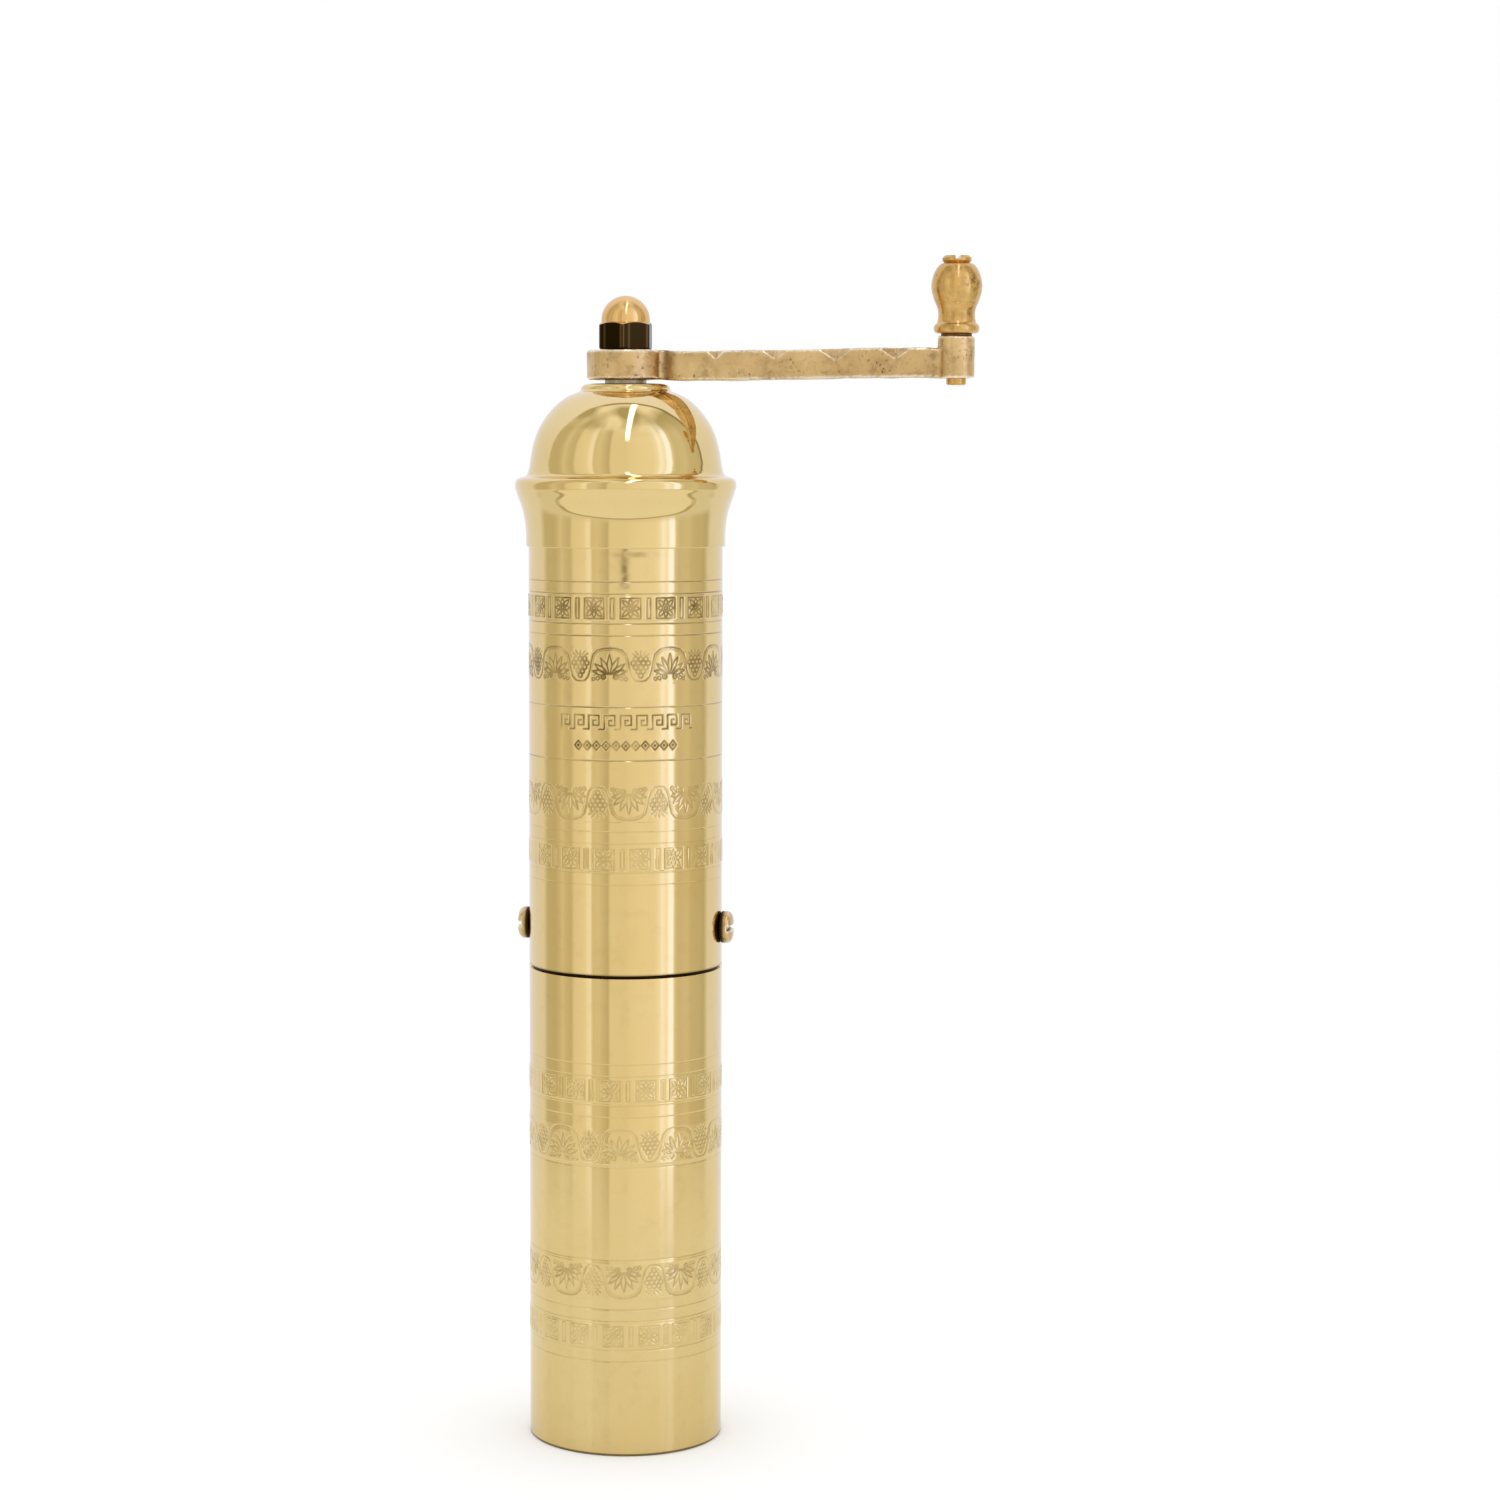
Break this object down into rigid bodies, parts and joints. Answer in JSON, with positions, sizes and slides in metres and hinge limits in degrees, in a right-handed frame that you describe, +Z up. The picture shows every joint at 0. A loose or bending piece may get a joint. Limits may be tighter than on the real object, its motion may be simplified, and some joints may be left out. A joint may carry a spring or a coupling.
{
  "type": "coffee grinder mill",
  "caption": "Tall cylindrical brass hand coffee mill with a domed lid, a cast crank arm, a turned knob and a pull-off grounds cup.",
  "frame": {"origin": "centre of the grounds cup's underside, on the mill's axis", "axes": "+Z up along the spindle, +X along the crank arm towards its knob, which is also the line through the two side screws"},
  "size_m": [0.1196, 0.0572, 0.3051],
  "materials": {
    "tube_brass": "polished, rolled ornament with darkened recesses",
    "lid_brass": "polished",
    "cast_brass": "satin, as cast, with pits",
    "knob_brass": "polished, slightly tarnished",
    "nut_brass": "polished",
    "screw_brass": "polished",
    "inner_brass": "plain",
    "burr_iron": "machined",
    "strap_steel": "brushed",
    "bright_steel": "bright"
  },
  "bodies": {
    "cup": {"grounds_cup": "tube_brass", "cup_base_plate": "tube_brass"},
    "hopper": {"hopper_tube": "tube_brass", "coupling_sleeve": "inner_brass", "side_screws": "screw_brass", "burr_ring": "burr_iron", "lower_bridge": "strap_steel", "bridge_screws": "strap_steel", "lock_nut": "strap_steel", "guide_bridge": "strap_steel", "guide_bush": "inner_brass", "spring_washer": "strap_steel", "burr_spring": "bright_steel"},
    "thrust": {"thrust_ball": "bright_steel"},
    "adjuster": {"adjusting_screw": "inner_brass"},
    "drive": {"spindle": "bright_steel", "male_burr": "burr_iron", "burr_nut": "strap_steel"},
    "lid": {"dome_lid": "lid_brass", "lid_bush": "inner_brass"},
    "crank": {"crank_arm": "cast_brass", "knob_axle": "cast_brass", "knob_washer": "screw_brass"},
    "nut": {"cap_nut": "nut_brass"},
    "knob": {"knob": "knob_brass"}
  },
  "joints": [
    {"name": "hopper_lift", "type": "slide", "parent": "cup", "child": "hopper", "axis": [0, 0, 1], "range_m": [0, 0.06]},
    {"name": "burr_height", "type": "slide", "parent": "hopper", "child": "thrust", "axis": [0, 0, 1], "range_m": [-0.0008, 0.0008], "deforming": ["burr_spring"]},
    {"name": "adjuster_turn", "type": "hinge", "parent": "thrust", "child": "adjuster", "pos_m": [0, 0, 0.1], "axis": [0, 0, 1], "range_deg": [-288, 288]},
    {"name": "crank_turn", "type": "hinge", "parent": "thrust", "child": "drive", "pos_m": [0, 0, 0.2], "axis": [0, 0, 1], "continuous": true},
    {"name": "nut_lift", "type": "slide", "parent": "drive", "child": "nut", "axis": [0, 0, 1], "range_m": [0, 0.14]},
    {"name": "crank_lift", "type": "slide", "parent": "drive", "child": "crank", "axis": [0, 0, 1], "range_m": [0, 0.112]},
    {"name": "lid_lift", "type": "slide", "parent": "hopper", "child": "lid", "axis": [0, 0, 1], "range_m": [0, 0.084]},
    {"name": "knob_spin", "type": "hinge", "parent": "crank", "child": "knob", "pos_m": [0.0846, 0, 0.29], "axis": [0, 0, 1], "continuous": true}
  ],
  "couplings": [
    {"joint": "burr_height", "follows": "adjuster_turn", "m_per_rad": 0.00015915},
    {"joint": "crank_lift", "follows": "nut_lift", "ratio": 0.8},
    {"joint": "lid_lift", "follows": "nut_lift", "ratio": 0.6}
  ]
}
